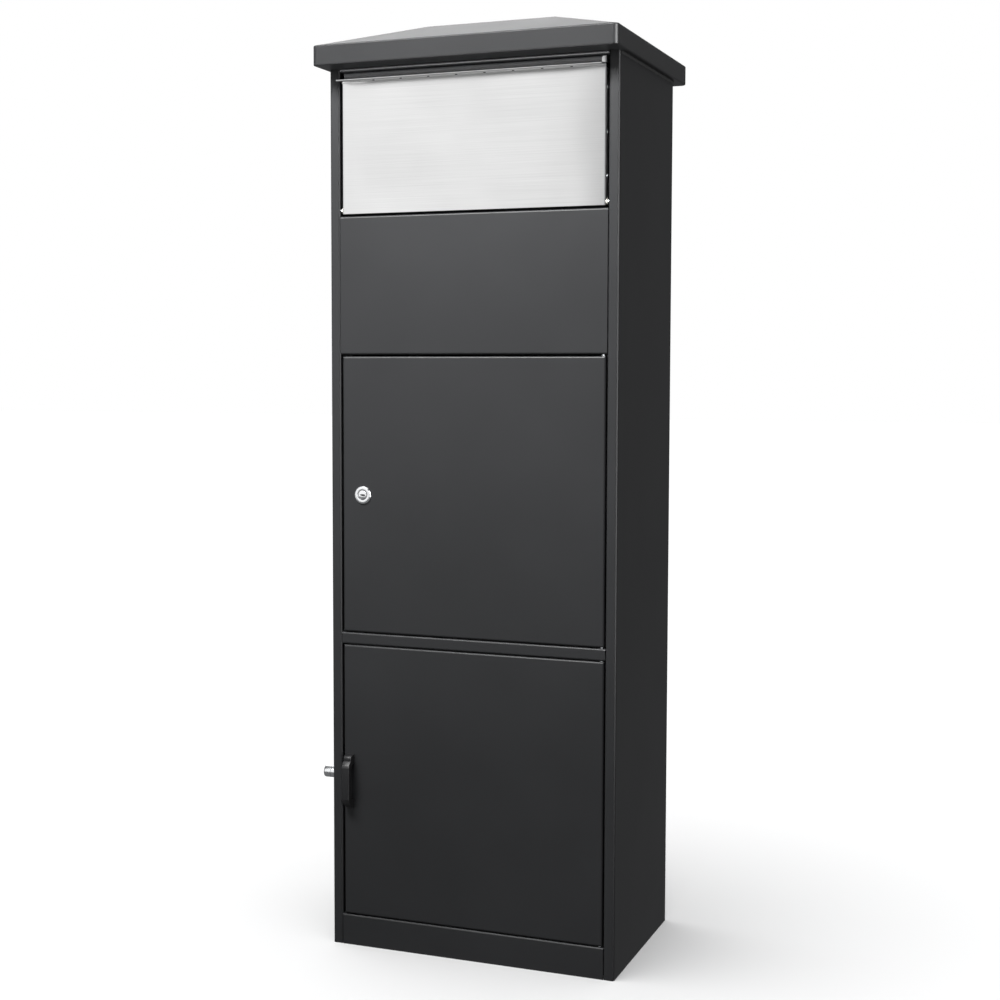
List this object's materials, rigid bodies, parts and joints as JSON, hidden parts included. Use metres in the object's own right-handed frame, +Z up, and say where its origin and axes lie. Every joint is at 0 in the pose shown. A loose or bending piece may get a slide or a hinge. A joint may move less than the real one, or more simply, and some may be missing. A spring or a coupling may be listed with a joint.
{
  "type": "parcel locker",
  "caption": "Free-standing steel parcel locker with a hipped rain roof, a tilting parcel hopper, two hinged doors, a cam lock and a push lock.",
  "frame": {"origin": "centre of the cabinet's footprint on the floor, midway between the side walls and between the front and back faces", "axes": "+Z up; the front with its doors faces -Y; +X is to the right seen from the front, the doors' hinge side"},
  "size_m": [0.4356, 0.3435, 1.246],
  "materials": {
    "charcoal_powder_coat": "satin powder coat, fine texture",
    "zinc_plate": "bright zinc plate",
    "inner_powder_coat": "satin powder coat",
    "black_rubber": "matt",
    "chrome": "polished",
    "brushed_stainless": "brushed, fine horizontal grain",
    "white_nylon": "natural nylon",
    "black_handle": "fine matt",
    "spring_steel": "drawn wire",
    "lock_brass": "machined"
  },
  "bodies": {
    "cabinet": {"left_side_panel": "charcoal_powder_coat", "right_side_panel": "charcoal_powder_coat", "back_panel": "charcoal_powder_coat", "back_rivets": "zinc_plate", "base_plate": "inner_powder_coat", "front_plinth": "charcoal_powder_coat", "shelf": "charcoal_powder_coat", "upper_front_panel": "charcoal_powder_coat", "top_plate": "charcoal_powder_coat", "roof_cap": "charcoal_powder_coat", "roof_seal": "black_rubber", "roof_bolts": "zinc_plate", "roof_nuts": "zinc_plate", "baffle_plate": "inner_powder_coat", "hopper_buffers": "black_rubber", "door_buffers": "black_rubber", "middle_hinge_pins": "zinc_plate", "bottom_hinge_pins": "zinc_plate", "hopper_pivot_pins": "zinc_plate", "push_lock_housing": "chrome", "push_lock_nut": "zinc_plate"},
    "hopper": {"hopper_front": "charcoal_powder_coat", "hopper_cover": "brushed_stainless", "hopper_left_cheek": "inner_powder_coat", "hopper_right_cheek": "inner_powder_coat", "hopper_floor": "inner_powder_coat", "hopper_rivets": "zinc_plate", "hopper_bushes": "white_nylon"},
    "middle_door": {"middle_door_panel": "charcoal_powder_coat", "middle_door_stiffener": "inner_powder_coat", "middle_door_bushes": "white_nylon", "cam_lock_housing": "chrome", "cam_lock_nut": "zinc_plate"},
    "cam_rotor": {"cam_lock_plug": "chrome", "cam_lever": "zinc_plate", "cam_screw": "zinc_plate"},
    "bottom_door": {"bottom_door_panel": "charcoal_powder_coat", "bottom_door_stiffener": "inner_powder_coat", "bottom_door_bushes": "white_nylon", "pull_handle": "black_handle", "handle_screws": "zinc_plate", "latch_keeper": "zinc_plate"},
    "push_barrel": {"push_lock_barrel": "chrome", "push_lock_bolt": "zinc_plate", "push_lock_spring": "spring_steel"},
    "push_plug": {"push_lock_plug": "lock_brass"}
  },
  "joints": [
    {"name": "hopper_tilt", "type": "hinge", "parent": "cabinet", "child": "hopper", "pos_m": [0, -0.126, 0.998], "axis": [1, 0, 0], "range_deg": [0, 50]},
    {"name": "middle_door_hinge", "type": "hinge", "parent": "cabinet", "child": "middle_door", "pos_m": [0.1792, -0.126, 0.619], "axis": [0, 0, 1], "range_deg": [0, 110]},
    {"name": "cam_lock_turn", "type": "hinge", "parent": "middle_door", "child": "cam_rotor", "pos_m": [-0.1535, -0.131, 0.619], "axis": [0, 1, 0], "range_deg": [0, 90]},
    {"name": "bottom_door_hinge", "type": "hinge", "parent": "cabinet", "child": "bottom_door", "pos_m": [0.1792, -0.126, 0.229], "axis": [0, 0, 1], "range_deg": [0, 110]},
    {"name": "push_lock_slide", "type": "slide", "parent": "cabinet", "child": "push_barrel", "axis": [1, 0, 0], "range_m": [0, 0.01], "stiffness_N_per_m": 600, "deforming": ["push_lock_spring"]},
    {"name": "push_lock_key_turn", "type": "hinge", "parent": "push_barrel", "child": "push_plug", "pos_m": [-0.228, -0.096, 0.229], "axis": [1, 0, 0], "range_deg": [0, 90]}
  ]
}
